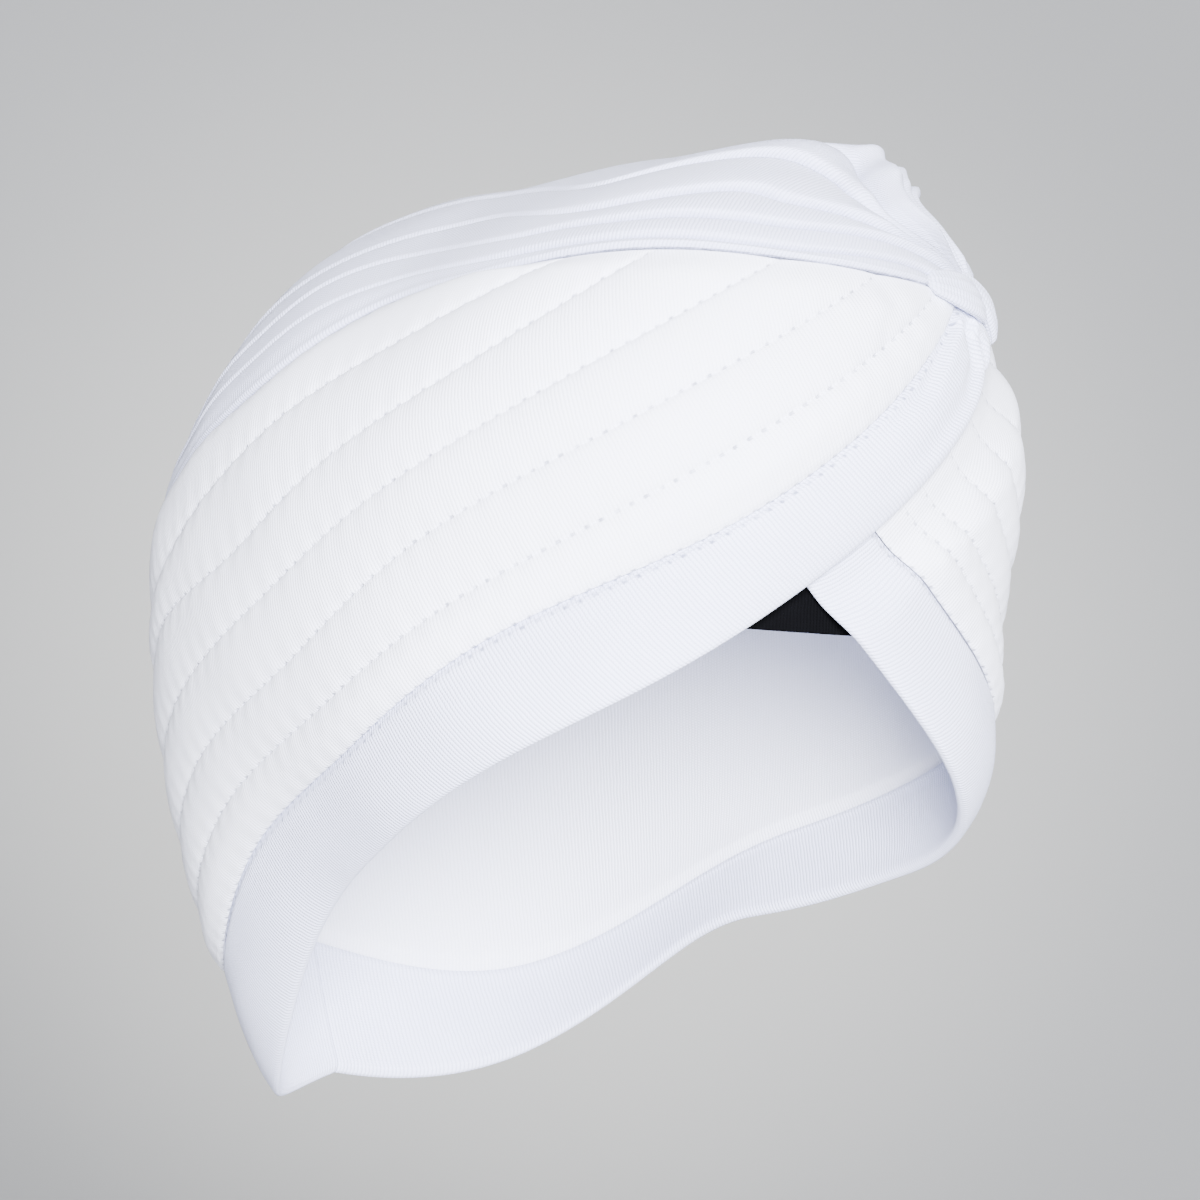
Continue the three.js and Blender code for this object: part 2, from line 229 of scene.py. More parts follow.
# Small waves of the cloth, each a length in millimetres and a direction
clothWaves = [(61, 1, 0.3, 0.5), (43, -0.4, 1, 0.2), (34, 0.2, -0.5, 1), (27, 0.8, 0.6, -0.4)]
wavePhase = 1.7  # radians from one wave to the next


def softWaves(toward, shift):  # from about -1 to 1, even over the whole cap
    place = toward * head["browReach"]
    total = 0
    for number, (length, *way) in enumerate(clothWaves):
        way = np.array(way) / np.linalg.norm(way)
        total = total + np.sin(place @ way * 2 * math.pi / length + wavePhase * number + shift)
    return total / len(clothWaves)


def lengths(points, axis):  # distance travelled over a grid of points, in millimetres
    steps = np.linalg.norm(np.diff(points, axis=axis), axis=-1) / mm
    start = np.zeros_like(np.take(steps, [0], axis=axis))
    return np.concatenate([start, np.cumsum(steps, axis=axis)], axis=axis)


def gridLengths(toward):  # along and across a grid of directions, at the level of the stitch lines
    level = onForm(toward, 0 * toward[..., 0])
    return lengths(level, 0), lengths(level, 1)


def roundedRim(distance, radius):  # 0 at an edge and 1 past the radius, a quarter circle between
    return np.sqrt(np.clip(1 - (1 - np.clip(distance / radius, 0, 1)) ** 2, 0, 1))


def toRim(travelled, climbed, start=0):  # distance to the nearest edge, more by start at the first row
    ends = np.minimum(travelled + start, travelled[-1:] - travelled)
    return np.minimum(np.minimum(climbed, climbed[:, -1:] - climbed), ends)


def seamSpacing(count):  # shares from 0 to 1, closer together at both ends
    return 0.5 - 0.5 * np.cos(np.linspace(0, math.pi, count + 1))


def rowShares(piece):  # shares of the way to the knot, closer together near it
    return 1 - (1 - np.linspace(*piece["ends"], piece["rowsAlong"])) ** piece["crowding"]


def makePiece(name, places, faces, maps):  # a smooth mesh with its flat places in millimetres as UV maps
    mesh = bpy.data.meshes.new(name)
    mesh.from_pydata(places, [], faces)
    mesh.polygons.foreach_set("use_smooth", np.ones(len(faces), bool))
    corners = np.empty(len(mesh.loops), int)
    mesh.loops.foreach_get("vertex_index", corners)
    for title, values in maps.items():
        layer = mesh.uv_layers.new(name=title)
        layer.data.foreach_set("uv", values.reshape(-1, 2)[corners].astype(np.float32).ravel())
    piece = bpy.data.objects.new(name, mesh)
    bpy.context.scene.collection.objects.link(piece)
    return piece


def clothWall(name, outer, inner, cut, seam):  # a closed wall between two grids of points
    rows, columns = outer.shape[:2]
    count = rows * columns
    number = np.arange(count).reshape(rows, columns)
    a, b, c, d = number[:-1, :-1], number[1:, :-1], number[1:, 1:], number[:-1, 1:]
    faces = [np.stack([a, b, c, d], -1).reshape(-1, 4)]
    faces.append(np.stack([d, c, b, a], -1).reshape(-1, 4) + count)
    for edge in (number[:, 0][::-1], number[:, -1], number[0], number[-1][::-1]):
        low, high = edge[:-1], edge[1:]
        faces.append(np.stack([low, high, high + count, low + count], -1))
    faces = np.concatenate(faces)
    places = np.concatenate([outer.reshape(-1, 3), inner.reshape(-1, 3)])
    first, second, third = (places[faces[:, k]] for k in range(3))
    if np.einsum("ij,ij->i", first, np.cross(second, third)).sum() < 0:
        faces = faces[:, ::-1]
    hidden = seam + [0, cloth["noStitch"]]  # the inner side shows no stitches
    maps = {"cut": np.concatenate([cut, cut]), "seam": np.concatenate([seam, hidden])}
    return makePiece(name, places.tolist(), faces.tolist(), maps)


# Folds of the cloth near the knot: turn, lift and depth in millimetres of points along the bottom of each
folds = {
    "rightHem": [
        {"width": 1.7, "ridge": 0.6, "points": [
            (16.6, 30, 1.9), (16.1, 26.5, 1.7), (13, 22.9, 1.3),
            (8.4, 19.2, 0.9), (4.2, 15.4, 0.5), (-0.5, 12.3, 0.2)]},
        {"width": 1.2, "ridge": 0.9, "points": [
            (12.5, 31, 1.5), (10.7, 29.3, 1.4), (7.8, 26, 1.1),
            (4.9, 22.8, 0.8), (0.9, 20, 0.5), (-2.7, 17.6, 0.1)]},
        {"width": 1.5, "ridge": 0.4, "points": [
            (19, 29.5, 1.4), (19.6, 26.5, 1.2), (17.6, 22.5, 0.8), (13.5, 18, 0.4), (9, 13.6, 0.1)]},
    ],
    "rightPanel": [
        {"width": 2.2, "ridge": 0.3, "points": [
            (-4.4, 24.8, 0.1), (-1.4, 28.2, 0.5), (0.2, 31.5, 0.6), (-0.6, 33.3, 0.4), (-1.6, 34.3, 0.1)]},
        {"width": 2, "ridge": 0.3, "points": [
            (9, 32.6, 0.6), (5, 30.6, 0.6), (1.5, 27.6, 0.4), (-2, 24, 0.1)]},
    ],
}
ridgePlace = 0.6  # where a fold's ridge is highest, in widths of the fold from its bottom


def foldRelief(toward, rows):
    total = np.zeros(toward.shape[:-1])
    reach = head["browReach"]
    for fold in rows:
        points = np.array(fold["points"], float)
        places = directionOf(points[:, 0], points[:, 1]) * reach
        nearest = np.full(total.shape, np.inf)
        relief = np.zeros(total.shape)
        for start, end, first, last in zip(places[:-1], places[1:], points[:-1, 2], points[1:, 2]):
            way = end - start
            offset = toward * reach - start
            share = np.clip(offset @ way / (way @ way), 0, 1)
            apart = offset - share[..., None] * way
            distance = np.linalg.norm(apart, axis=-1)
            above = np.sign(np.cross(way, apart) @ (start + end))
            at = distance / fold["width"]
            shape = -bell(at) + fold["ridge"] * above * at * bell(at - ridgePlace)
            relief = np.where(distance < nearest, (first + (last - first) * share) * shape, relief)
            nearest = np.minimum(nearest, distance)
        total = total + relief
    return total


def sideGrid(side, across, along):
    turn, lift = sidePoint(side, across, along)
    toward = directionOf(turn, lift)
    return toward, tuckShare(side, turn, lift), *gridLengths(toward)


leastRim = 0.04  # share of its thickness that a wall keeps at its very edge


def walls(toward, high, low, edge, radius):  # outer and inner points, rounded off at the edges
    middle, half = (high + low) / 2, (high - low) / 2
    half = half * (leastRim + (1 - leastRim) * roundedRim(edge, radius))
    return onForm(toward, middle + half), onForm(toward, middle - half)


quilt = {
    "rowsAlong": 320,
    "columnsPerChannel": 20,
    "ends": (0.0003, 0.9988),  # first and last row, as shares of the way to the knot
    "crowding": 1.2,  # above 1 the rows lie closer together near the knot
    "rise": 1.5,
    "mostRise": 0.14,  # share of the channel's width
    "shape": 0.55,  # lower makes flatter channels with narrower valleys
    "backFade": (0.05, 0.3),  # share over which the padding comes in, and how much the end has
    "knotFade": (0.06, 0.25),
    "level": 0.8,  # how far the stitch lines stand out away from the panel's edges
    "levelReach": (1, 6),  # where that starts from an edge, and over what length
    "puckerDepth": 0.15,
    "puckerLength": 6.7,
    "puckerReach": 3.4,
    "puckerRim": 1,
    "puckerPhase": 2.3,  # radians from one stitch line to the next
    "puckerDrift": 11,
    "waveDepth": 0.35,
    "waveRim": 5,
    "waveShift": 0,
    "seamWall": 0.7,  # thinner where it is sewn on the hem band
    "seamReach": (1.4, 3),  # how far the thin part goes, and over what length it ends
    "leastWall": 0.6,
    "underCrown": 0.7,  # how deep it lies below the crown strip's edge
    "underCrownInside": 0.2,
    "underCrownReach": 3.5,
    "rim": 1.1,
    "stitchShift": 1.3,  # from one stitch line to the next
}


def quiltedPanel(name, side, extra):
    channels = len(side["lines"]) - 1
    steps = seamSpacing(quilt["columnsPerChannel"])[:-1]
    across = np.concatenate([1 + channel + steps for channel in range(channels)] + [[channels + 1]])
    along = rowShares(quilt)
    toward, tuck, travelled, climbed = sideGrid(side, across, along)
    lines = climbed[:, :: quilt["columnsPerChannel"]]
    channel = np.minimum(np.arange(len(across)) // quilt["columnsPerChannel"], channels - 1)
    below = climbed - lines[:, channel]
    above = lines[:, channel + 1] - climbed
    width = below + above
    toLine = np.minimum(below, above)
    line = channel + (below > above)
    backFade, backShare = quilt["backFade"]
    knotFade, knotShare = quilt["knotFade"]
    ends = np.minimum(ease((1 - along) / knotFade + knotShare), ease(along / backFade + backShare))[:, None]
    ends = ends * (1 - tuck)

    share = np.clip(below / np.maximum(width, 1e-6), 0, 1)
    puff = np.minimum(quilt["rise"], quilt["mostRise"] * width)
    rise = puff * np.sin(math.pi * share) ** quilt["shape"]
    drift = np.sin(travelled / quilt["puckerDrift"] + line)
    phase = travelled * 2 * math.pi / quilt["puckerLength"] + quilt["puckerPhase"] * line + drift
    pucker = quilt["puckerDepth"] * np.sin(phase) * np.exp(-toLine / quilt["puckerReach"])
    pucker = pucker * roundedRim(toLine, quilt["puckerRim"])
    wave = quilt["waveDepth"] * softWaves(toward, quilt["waveShift"]) * roundedRim(toLine, quilt["waveRim"])
    high = (rise + pucker + wave) * ends + foldRelief(toward, extra)

    fromHem, toCrown = climbed, climbed[:, -1:] - climbed
    edge, reach = quilt["levelReach"]
    high = high + quilt["level"] * ease((fromHem - edge) / reach) * ease((toCrown - edge) / reach) * ends
    atCrown = 1 - ease(toCrown / quilt["underCrownReach"])
    high = high - quilt["underCrown"] * atCrown
    edge, reach = quilt["seamReach"]
    thin = (cloth["panelWall"] - quilt["seamWall"]) * (1 - ease((fromHem - edge) / reach))
    low = thin - cloth["panelWall"] - quilt["underCrownInside"] * atCrown
    low = np.minimum(low, high - quilt["leastWall"])
    sunk = tuck * tuckDepth
    rim = toRim(travelled, climbed, quilt["rim"])
    outer, inner = walls(toward, high - sunk, low - sunk, rim, quilt["rim"])
    cut = np.stack([travelled, climbed], -1)
    seam = np.stack([travelled + quilt["stitchShift"] * line, toLine], -1)
    return clothWall(name, outer, inner, cut, seam)


rightQuilt = quiltedPanel("rightQuilt", rightSide, folds["rightPanel"])
leftQuilt = quiltedPanel("leftQuilt", leftSide, [])
print("quilted panels made")

hem = {
    "rowsAlong": 420,
    "ends": (0.0002, 0.9994),
    "crowding": 1.2,
    "shares": [0, 0.006, 0.02, 0.045, 0.08, 0.13, 0.19, 0.26, 0.34, 0.42, 0.5, 0.58, 0.66, 0.74, 0.81, 0.87,
               0.91, 0.94, 0.965, 0.985, 1, 1.02, 1.045, 1.07],  # past 1 it lies under the panel
    "rise": [0.5, 0.95, 1, 0.85, 0.45, 0.1],
    "waveDepth": 0.45,
    "waveShift": 2,
    "underPanel": 1.05,
    "seamDrop": 1.7,  # over which it sinks below the panel's edge
    "seamWall": 1,
    "leastWall": 0.8,  # share of its wall
    "rim": 1.3,
}


def hemBand(name, side, extra):
    across = np.array(hem["shares"])
    toward, tuck, travelled, climbed = sideGrid(side, across, rowShares(hem))
    seamColumn = hem["shares"].index(1)
    toSeam = climbed[:, seamColumn : seamColumn + 1] - climbed
    rise = cloth["hemPuff"] * throughRows(hem["rise"], np.clip(across, 0, 1))
    wave = hem["waveDepth"] * softWaves(toward, hem["waveShift"])
    under = 1 - ease(toSeam / hem["seamDrop"])
    high = (rise + wave) * (1 - tuck) + foldRelief(toward, extra)
    high = high * (1 - under) - hem["underPanel"] * under
    wall = cloth["hemWall"] + (hem["seamWall"] - cloth["hemWall"]) * under
    low = -cloth["hemWall"] * (1 - under) - (hem["underPanel"] + wall) * under
    low = np.minimum(low, high - wall * hem["leastWall"])
    sunk = tuck * tuckDepth
    rim = toRim(travelled, climbed, hem["rim"])
    outer, inner = walls(toward, high - sunk, low - sunk, rim, hem["rim"])
    cut = np.stack([travelled, climbed], -1)
    return clothWall(name, outer, inner, cut, np.stack([travelled, toSeam], -1))


rightHem = hemBand("rightHem", rightSide, folds["rightHem"])
leftHem = hemBand("leftHem", leftSide, [])
print("hem bands made")

# The crown strip: edges of its pleats as shares of its width from the right, a row for each place along it
crown = {
    "rowsAlong": 300,
    "fineRows": 800,  # to space the others evenly
    "ends": (0.012, 0.985),
    "places": [0, 0.2, 0.35, 0.45, 0.55, 0.62, 0.67, 0.71, 0.75, 0.79, 0.83, 0.87, 0.91, 0.95, 1],
    "edges": [
        [0.1, 0.2, 0.3, 0.4, 0.5, 0.6, 0.7, 0.8, 0.9],
        [0.09, 0.18, 0.28, 0.38, 0.5, 0.6, 0.7, 0.8, 0.9],
        [0.064, 0.122, 0.2, 0.32, 0.47, 0.59, 0.69, 0.79, 0.89],
        [0.046, 0.097, 0.145, 0.25, 0.42, 0.57, 0.68, 0.78, 0.89],
        [0.028, 0.069, 0.136, 0.21, 0.37, 0.56, 0.67, 0.77, 0.88],
        [0.026, 0.068, 0.12, 0.2, 0.36, 0.56, 0.65, 0.76, 0.88],
        [0.028, 0.078, 0.125, 0.29, 0.45, 0.545, 0.62, 0.72, 0.86],
        [0.03, 0.088, 0.165, 0.365, 0.485, 0.53, 0.585, 0.65, 0.8],
        [0.034, 0.107, 0.23, 0.395, 0.465, 0.52, 0.565, 0.605, 0.76],
        [0.037, 0.128, 0.243, 0.388, 0.445, 0.5, 0.55, 0.6, 0.72],
        [0.043, 0.165, 0.31, 0.395, 0.43, 0.49, 0.55, 0.62, 0.75],
        [0.07, 0.29, 0.38, 0.43, 0.48, 0.54, 0.59, 0.65, 0.8],
        [0.17, 0.42, 0.5, 0.56, 0.61, 0.65, 0.69, 0.74, 0.85],
        [0.3, 0.58, 0.64, 0.7, 0.75, 0.79, 0.83, 0.87, 0.93],
        [0.34, 0.62, 0.68, 0.73, 0.78, 0.82, 0.86, 0.9, 0.95],
    ],
    "steps": [0, 0.012, 0.03, 0.055, 0.085, 0.125, 0.18, 0.26, 0.36, 0.47, 0.6, 0.74, 0.88, 0.95, 0.985],
    "heights": [1.3, 1.5, 1.8, 2.2, 2.6, 4.6, 3.4, 2.8, 1.8, 1.2],
    "mostHeight": 0.55,  # share of the pleat's width
    "towardRight": [1, 1, 1, 1, 1, 0, 0, 0, 0, 0],
    "swell": [0.7, 0.8, 0.85, 0.9, 0.9, 0.85, 0.9, 1, 1, 1, 1, 1, 1, 0.9, 0.6],
    "deep": [0, 0, 0, 0, 0, 0.1, 0.5, 0.85, 1, 1, 1, 1, 1, 1, 1],  # flat bands at 0, deep folds at 1
    "standingPleats": (5, 6, 7),
    "standing": (0.72, 0.04, 1.2),  # place, reach and strength: there the middle pleats stand up
    "mostStanding": 1.2,
    "crest": 0.1,  # share of a deep fold that its steep side takes
    "climb": 0.7,  # powers of its two sides
    "fall": 0.75,
    "overhang": 1.3,
    "overhangShare": 0.4,  # most of the fold's height
    "overhangPlace": 0.06,
    "band": 0.6,  # height of a flat band's edge
    "bandEdge": 0.35,
    "bandPleat": 2,  # a lower pleat makes a lower band
    "bandLip": (0.35, 1.2),  # share of the height that is gone after this length
    "bandFall": 0.8,
    "creaseDepth": 1.6,
    "creaseWidth": 0.5,
    "creaseReach": (0.8, 1.5),  # where creases start from the strip's sides, and over what length
    "bandCrease": 0.1,
    "base": 1,
    "baseReach": 5,
    "deepBase": 0.2,  # share of it under deep folds
    "bulges": [(0.51, 0.27, 0.05, 0.12, 2.3), (0.6, 0.35, 0.035, 0.1, -0.7), (0.68, 0.45, 0.045, 0.12, 4.6)],
    "waveDepth": 0.4,
    "waveShift": 5,
    "edgeRoll": (0.5, 1.6),  # height and width
    "edgeThin": (0.9, 2.5),
    "leastWall": 1,
    "rim": 0.9,
    "seamGap": 0.4,
}


def crownEdge(side, position):
    turn = side["start"] + (side["knotTurn"] - side["start"]) * position
    return directionOf(turn, seamLift(side, turn) + degreesOf(crown["seamGap"]))


def crownAngle(position):  # between both seams, in radians
    facing = (crownEdge(rightSide, position) * crownEdge(leftSide, position)).sum(-1)
    return np.arccos(np.clip(facing, -1, 1))


def crownDirection(position, share):  # along the great circle from seam to seam
    angle = crownAngle(position)
    fromRight, fromLeft = np.sin((1 - share) * angle) / np.sin(angle), np.sin(share * angle) / np.sin(angle)
    right, left = crownEdge(rightSide, position), crownEdge(leftSide, position)
    return right * fromRight[..., None] + left * fromLeft[..., None]


def evenPositions(count):  # places along the strip that lie evenly apart on the cap
    fine = np.linspace(*crown["ends"], crown["fineRows"])
    tracks = [crownDirection(fine, np.full(len(fine), share)) for share in (0, 0.5, 1)]
    travelled = sum(lengths(track * mm, 0) for track in tracks)
    return np.interp(np.linspace(0, travelled[-1], count), travelled, fine)


def pleatRise(share):  # sharp at the lower edge, then slowly down towards the top
    crest = crown["crest"]
    climbing = np.sin(np.clip(share / crest, 0, 1) * math.pi / 2) ** crown["climb"]
    falling = np.cos(np.clip((share - crest) / (1 - crest), 0, 1) * math.pi / 2) ** crown["fall"]
    return np.where(share < crest, climbing, falling)


def onePleat(number, start, end, strip):  # places across the strip, height, lean and distance from a crease
    toRight = crown["towardRight"][number]
    steps = np.array(crown["steps"])
    if not toRight:
        steps = np.concatenate([[0], 1 - steps[:0:-1]])
    own = steps if toRight else 1 - steps
    width = (end - start) * strip["width"]

    height, most = crown["heights"][number] * strip["swell"], crown["mostHeight"]
    if number in crown["standingPleats"]:
        place, reach, strength = crown["standing"]
        height = height * (1 + strength * bell((strip["position"] - place) / reach))
        most = crown["mostStanding"]
    tall = np.minimum(height, most * width)
    place = crown["overhangPlace"]
    lean = bell((own - place) / place) * np.sign(own) * (-1 if toRight else 1) * strip["deep"]
    lean = lean * np.minimum(crown["overhang"], crown["overhangShare"] * tall) / strip["width"]

    fromFold = own * width
    band = crown["band"] * min(1, crown["heights"][number] / crown["bandPleat"])
    lip, reach = crown["bandLip"]
    flat = lip * np.exp(-fromFold / reach) + (1 - lip) * (1 - own) ** crown["bandFall"]
    flat = flat * band * (1 - bell(fromFold / crown["bandEdge"]))
    rise = strip["deep"] * tall * pleatRise(own) + (1 - strip["deep"]) * flat
    return start + steps * (end - start), rise, lean, np.minimum(own, 1 - own) * width


def crownStrip(name):
    position = evenPositions(crown["rowsAlong"])[:, None]
    rows = np.interp(position[:, 0], crown["places"], np.linspace(0, 1, len(crown["places"])))
    zero = 0 * position
    middles = [throughRows(column, rows)[:, None] for column in np.array(crown["edges"]).T]
    edges = [zero] + middles + [zero + 1]
    deep = np.clip(throughRows(crown["deep"], rows), 0, 1)[:, None]
    strip = {
        "position": position,
        "width": crownAngle(position) * head["crownHeight"],
        "swell": throughRows(crown["swell"], rows)[:, None],
        "deep": deep,
    }
    pleats = [onePleat(number, *edges[number : number + 2], strip) for number in range(len(crown["heights"]))]
    pleats.append((zero + 1, zero, zero, zero))
    upright, rise, lean, toFold = (np.concatenate(parts, 1) for parts in zip(*pleats))
    share = np.clip(upright + lean, 0, 1)
    toward = crownDirection(position + 0 * share, share)
    travelled, climbed = gridLengths(toward)
    roll = np.minimum(climbed, climbed[:, -1:] - climbed)

    edge, reach = crown["creaseReach"]
    crease = bell(toFold / crown["creaseWidth"]) * ease((roll - edge) / reach)
    crease = crease * (crown["bandCrease"] + (1 - crown["bandCrease"]) * deep)
    inward = ease(roll / crown["baseReach"])
    base = crown["base"] * inward * (1 - (1 - crown["deepBase"]) * deep)
    high = rise - crown["creaseDepth"] * crease + base
    for place, middle, reach, spread, bulge in crown["bulges"]:
        near = ((position - place) / reach) ** 2 + ((upright - middle) / spread) ** 2
        high = high + bulge * inward * np.exp(-near)
    rollHeight, rollWidth = crown["edgeRoll"]
    wave = crown["waveDepth"] * softWaves(toward, crown["waveShift"])
    high = high + wave + rollHeight * bell(roll / rollWidth)
    thin, reach = crown["edgeThin"]
    low = np.minimum(thin * bell(roll / reach) - cloth["crownWall"], high - crown["leastWall"])
    outer, inner = walls(toward, high, low, toRim(travelled, climbed), crown["rim"])
    cut = np.stack([travelled, climbed], -1)
    return clothWall(name, outer, inner, cut, np.stack([travelled, toFold + cloth["noStitch"]], -1))


crownPiece = crownStrip("crownStrip")
print("crown strip made")

# The knot: turn, lift, height above the cloth in millimetres and share of the full size, a row for each place
knot = {
    "steps": 90,
    "corners": 56,
    "ends": (0.02, 0.98),
    "roundEnds": 0.12,  # share of the length over which they close
    "squareness": 0.8,  # below 1 the section is fuller than an oval
    "creaseWidth": 0.13,
    "creaseShare": 0.5,
    "thickness": 3.4,
    "knitShare": 3,  # of the strap's width for each radian round it
    "straps": {
        "knotWrap": {
            "width": 9,
            "creases": [(-0.55, 0.3), (0.1, 0.35), (0.65, 0.3)],  # place and depth
            "rows": [(8, 35.4, 0.5, 0.5), (11, 34.9, 1.5, 0.8), (14.2, 34.3, 2.3, 1),
                     (17.4, 33.8, 2.4, 1), (20.4, 33.4, 1.4, 0.85)],
        },
        "knotBack": {
            "width": 6.5,
            "creases": [(-0.3, 0.35), (0.5, 0.3)],
            "rows": [(17, 37.4, 0.2, 0.5), (19.8, 35.9, 1.4, 0.85), (22.2, 34, 2, 1),
                     (24.4, 32.3, 1.4, 1), (26.4, 30.9, 0, 0.8)],
        },
    },
}


def unit(ways):
    return ways / np.linalg.norm(ways, axis=1, keepdims=True)


def knotStrap(name, strap):
    share = np.linspace(*knot["ends"], knot["steps"])
    turn, lift, above, size = (throughRows(column, share) for column in np.array(strap["rows"]).T)
    size = size * np.sqrt(np.clip(np.minimum(share, 1 - share) / knot["roundEnds"], 0, 1))
    middle = onForm(directionOf(turn, lift), above) / mm
    out = unit(middle)
    aside = unit(np.cross(unit(np.gradient(middle, axis=0)), out))
    corner = np.linspace(0, 2 * math.pi, knot["corners"], endpoint=False)
    x, y = (np.sign(way) * np.abs(way) ** knot["squareness"] for way in (np.cos(corner), np.sin(corner)))
    dent = sum(depth * bell((x - place) / knot["creaseWidth"]) for place, depth in strap["creases"])
    y = np.where(y > 0, y * (1 - knot["creaseShare"] * dent), y)
    breadth = size[:, None] * x * strap["width"] / 2
    thickness = size[:, None] * y * knot["thickness"] / 2
    points = middle[:, None] + aside[:, None] * breadth[..., None] + out[:, None] * thickness[..., None]
    number = np.arange(knot["steps"] * knot["corners"]).reshape(knot["steps"], knot["corners"])
    after = np.roll(number, -1, axis=1)
    faces = np.stack([number[:-1], number[1:], after[1:], after[:-1]], -1).reshape(-1, 4).tolist()
    faces += [number[0].tolist(), number[-1][::-1].tolist()]
    along = lengths(middle * mm, 0)[:, None] + 0 * number
    around = corner * strap["width"] / knot["knitShare"] + 0 * number
    cut = np.stack([along, around], -1)
    maps = {"cut": cut, "seam": 0 * cut + cloth["noStitch"]}
    return makePiece(name, (points * mm).reshape(-1, 3).tolist(), faces, maps)


knotPieces = [knotStrap(name, strap) for name, strap in knot["straps"].items()]

brow = {
    "length": 72,
    "drop": 10,
    "height": 24,
    "turn": -11,
    "rowsAlong": 90,
    "columns": 30,
    "waveDepth": 0.15,
    "waveShift": 3,
    "rim": 0.6,
}


def browBand(name):
    half = degreesOf(brow["length"] / 2)
    turn = brow["turn"] + np.linspace(-half, half, brow["rowsAlong"])[:, None]
    height = -brow["drop"] + brow["height"] * seamSpacing(brow["columns"] - 1)[None, :]
    lift = np.degrees(np.arcsin(height / head["browReach"]))
    toward = directionOf(turn + 0 * lift, lift + 0 * turn)
    travelled, climbed = gridLengths(toward)
    high = brow["waveDepth"] * softWaves(toward, brow["waveShift"]) - 2 * tuckDepth  # inside both sides
    rim = toRim(travelled, climbed)
    outer, inner = walls(toward, high, high - cloth["browWall"], rim, brow["rim"])
    cut = np.stack([travelled, climbed], -1)
    return clothWall(name, outer, inner, cut, 0 * cut + cloth["noStitch"])


browPiece = browBand("browBand")
print("knot and brow band made")


def fill(tree, made, inputs):  # links the sockets among the inputs and sets the rest
    for key, value in inputs.items():
        if isinstance(value, bpy.types.NodeSocket):
            tree.links.new(value, made.inputs[key])
        else:
            made.inputs[key].default_value = value


def node(tree, kind, inputs, **settings):
    made = tree.nodes.new(kind)
    for name, value in settings.items():
        setattr(made, name, value)
    fill(tree, made, inputs)
    return made


def maths(tree, operation, *values):
    return node(tree, "ShaderNodeMath", dict(enumerate(values)), operation=operation).outputs[0]


def noise(tree, place, scale, detail, roughness=0.5):
    inputs = {"Vector": place, "Scale": scale, "Detail": detail, "Roughness": roughness}
    return node(tree, "ShaderNodeTexNoise", inputs).outputs[0]


def ramp(tree, value, start, end, low=0.0, high=1.0, kind="LINEAR"):
    inputs = {0: value, 1: start, 2: end, 3: low, 4: high}
    return node(tree, "ShaderNodeMapRange", inputs, interpolation_type=kind).outputs[0]


def mix(tree, share, first, second, kind="MIX"):  # sockets 6 and 7 are the two colors
    inputs = {"Factor": share, 6: first, 7: second}
    return node(tree, "ShaderNodeMix", inputs, data_type="RGBA", blend_type=kind).outputs[2]


def group(name, inputs, outputs):
    tree = bpy.data.node_groups.new(name, "ShaderNodeTree")
    for title, kind in inputs.items():
        tree.interface.new_socket(title, in_out="INPUT", socket_type="NodeSocket" + kind)
    for title in outputs:
        tree.interface.new_socket(title, in_out="OUTPUT", socket_type="NodeSocketFloat")
    start, end = tree.nodes.new("NodeGroupInput"), tree.nodes.new("NodeGroupOutput")
    return tree, start.outputs, end


knitShape = {
    "wanderScale": 0.35,
    "wander": 0.5,  # how far the loops stray from their column, in millimetres
    "slant": 1.1,
    "loop": 0.22,  # share of the height that goes up and down along a column
    "paintedGroove": 2.0,  # higher makes narrower grooves and so narrower stripes of painted shade
}


def knitGroup():  # rows of knit loops, places in millimetres, with a mask of painted shade for the grooves between them
    inputs = {"Place": "Vector", "Wale": "Float", "Course": "Float"}
    tree, given, result = group("knit", inputs, ["Height", "PaintedGrooveShade"])
    place = node(tree, "ShaderNodeSeparateXYZ", {0: given["Place"]}).outputs
    wander = noise(tree, given["Place"], knitShape["wanderScale"], 1.0)
    along = maths(tree, "ADD", place[0], maths(tree, "MULTIPLY", wander, knitShape["wander"]))
    across = maths(tree, "PINGPONG", maths(tree, "DIVIDE", along, given["Wale"]), 0.5)
    rows = maths(tree, "DIVIDE", place[1], given["Course"])
    slant = maths(tree, "SUBTRACT", rows, maths(tree, "MULTIPLY", across, knitShape["slant"]))
    loop = maths(tree, "SINE", maths(tree, "MULTIPLY", slant, 2 * math.pi))
    ridge = maths(tree, "SINE", maths(tree, "MULTIPLY", across, math.pi))
    bumps = maths(tree, "ADD", maths(tree, "MULTIPLY", loop, knitShape["loop"]), 1 - knitShape["loop"])
    paintedGroove = maths(tree, "POWER", maths(tree, "SUBTRACT", 1.0, ridge), knitShape["paintedGroove"])
    fill(tree, result, {"Height": maths(tree, "MULTIPLY", ridge, bumps), "PaintedGrooveShade": paintedGroove})
    return tree


stitchShape = {
    "wanderScale": 0.12,
    "wander": 2.0,  # how much longer and shorter the stitches get
    "rowShift": 1.7,  # between rows that lie a millimetre apart
    "thread": (0.42, 0.12),  # from where it ends beside the row to where it is full
    "threadEnds": (0.1, 0.2),
    "threadHeight": 0.45,
    "hole": (0.5, 0.12),
    "holeEnds": (0.2, 0.07),
    "holeDepth": 0.5,
    "closed": (0.42, 0.58, 0.45, 1.0),  # some holes close up, to the third share
    "dent": (1.7, 0.0),
    "dentDepth": 0.45,
}


